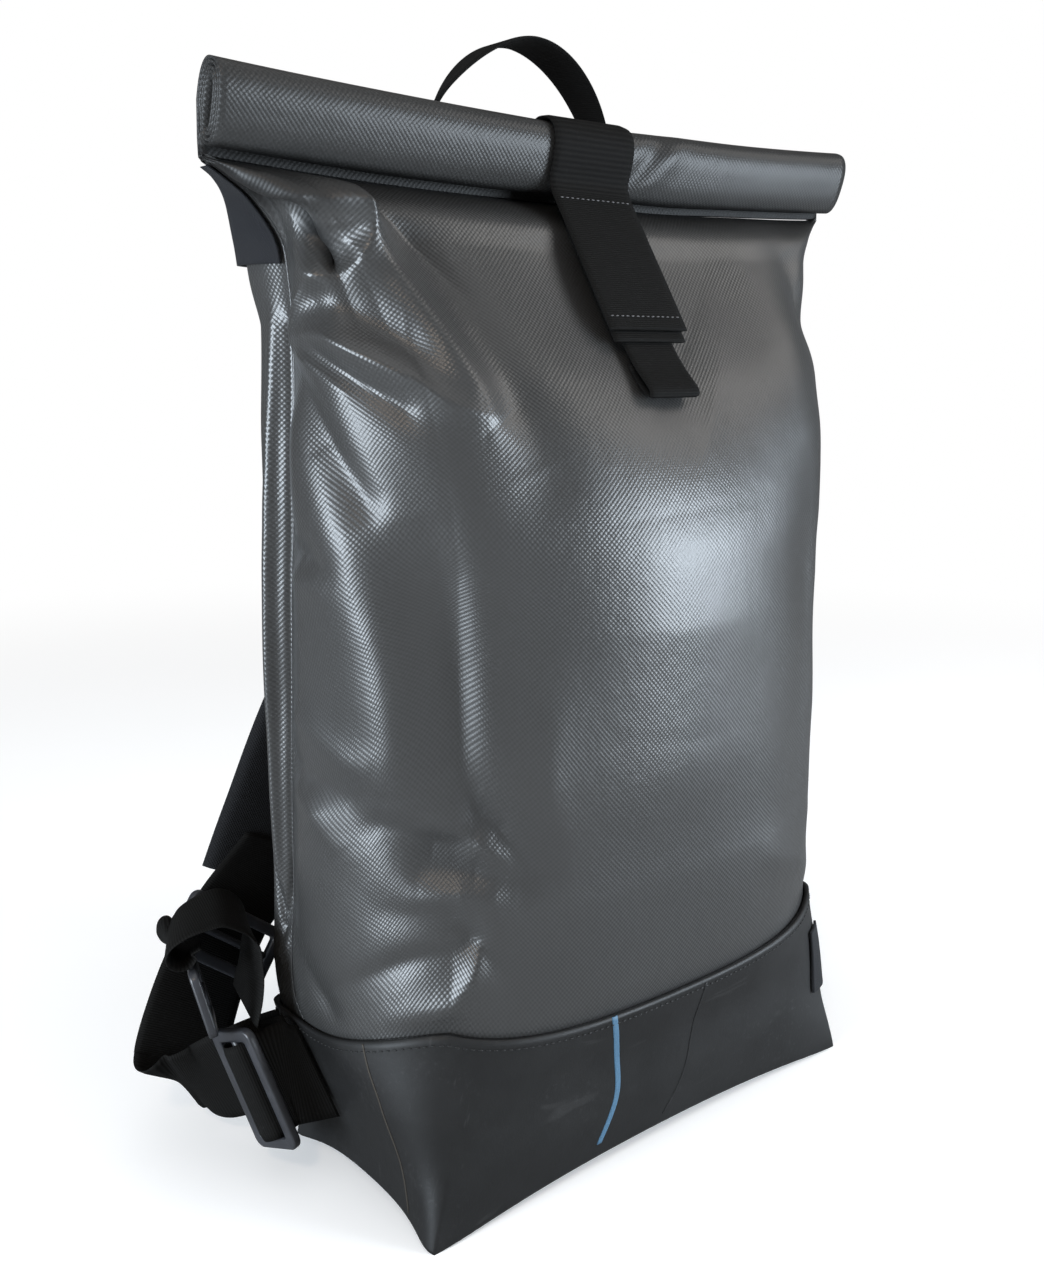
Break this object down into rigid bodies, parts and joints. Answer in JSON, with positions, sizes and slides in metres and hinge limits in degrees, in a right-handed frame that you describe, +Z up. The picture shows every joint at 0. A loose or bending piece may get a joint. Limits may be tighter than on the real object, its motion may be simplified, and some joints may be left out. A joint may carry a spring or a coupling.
{
  "type": "rolltop backpack",
  "caption": "Rolltop backpack of coated tarpaulin with a rubber boot, rolled mouth held by a webbing strap, carry handle and padded shoulder straps.",
  "frame": {"origin": "middle of the boot's underside, on the surface that the pack stands on", "axes": "+Z up along the pack's height, -Y out of the front panel, +X to the right of someone who faces the front"},
  "size_m": [0.4266, 0.2062, 0.5445],
  "materials": {
    "tarpaulin": "dark grey coated cloth with a woven emboss, semi-gloss",
    "boot_rubber": "satin black inner-tube rubber",
    "webbing": "matt ribbed black webbing",
    "padding": "matt black padded cloth",
    "yoke_cloth": "matt black cloth",
    "slider_plastic": "satin dark grey moulded plastic"
  },
  "bodies": {
    "root": {"base_boot": "boot_rubber", "front_panel": "tarpaulin", "back_panel": "tarpaulin", "back_yoke": "yoke_cloth", "top_roll": "tarpaulin", "closure_strap": "webbing", "closure_grip": "webbing", "pull_tab": "webbing", "carry_handle": "webbing", "side_tab": "yoke_cloth", "shoulder_strap_left": "padding", "shoulder_strap_right": "padding", "lower_webbing_left": "webbing", "lower_webbing_right": "webbing", "loose_end_left": "webbing", "loose_end_right": "webbing", "anchor_slider_left": "slider_plastic", "anchor_slider_right": "slider_plastic", "loose_slider_left": "slider_plastic", "loose_slider_right": "slider_plastic", "strap_buckle_left": "slider_plastic", "strap_buckle_right": "slider_plastic", "anchor_webbing_left": "webbing", "anchor_webbing_right": "webbing"}
  },
  "joints": []
}
